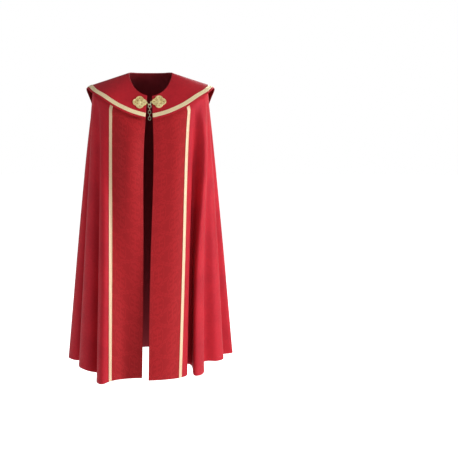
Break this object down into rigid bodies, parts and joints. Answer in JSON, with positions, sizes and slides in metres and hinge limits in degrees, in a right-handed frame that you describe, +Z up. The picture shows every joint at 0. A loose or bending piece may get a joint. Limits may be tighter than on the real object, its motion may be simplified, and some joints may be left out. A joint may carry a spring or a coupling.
{
  "type": "cope vestment",
  "caption": "Long open ceremonial cloak with a wide hood that is pointed at the back, damask front bands, gold braid trim and a chain clasp at the chest.",
  "frame": {"origin": "middle of the neck opening, where the wearer's neck and shoulders hold the garment up", "axes": "+Z up, the front of the garment faces -Y, +X is to the right of a viewer who faces its front"},
  "size_m": [0.7644, 0.6215, 1.375],
  "materials": {
    "red_cloth": "plain weave with a soft sheen",
    "damask": "tone on tone damask",
    "gold_braid": "woven metallic thread",
    "gold_metal": "cast and pierced, satin",
    "chain_metal": "polished pale wire"
  },
  "bodies": {
    "cope": {"main_cloth": "red_cloth", "hood": "red_cloth", "front_band_left": "damask", "front_band_right": "damask", "front_braid_left": "gold_braid", "front_braid_right": "gold_braid", "hood_braid_left": "gold_braid", "hood_braid_right": "gold_braid", "clasp_plate_left": "gold_metal", "clasp_plate_right": "gold_metal", "clasp_hook": "gold_metal", "chain_link_1": "chain_metal", "chain_link_2": "chain_metal"},
    "chain_tail": {"chain_link_3": "chain_metal", "chain_link_4": "chain_metal", "chain_link_5": "chain_metal", "chain_link_6": "chain_metal"}
  },
  "joints": [
    {"name": "chain_tail_swing", "type": "hinge", "parent": "cope", "child": "chain_tail", "pos_m": [-0.00427, -0.12383, -0.11119], "axis": [-1, 0, 0], "range_deg": [-15, 80]}
  ]
}
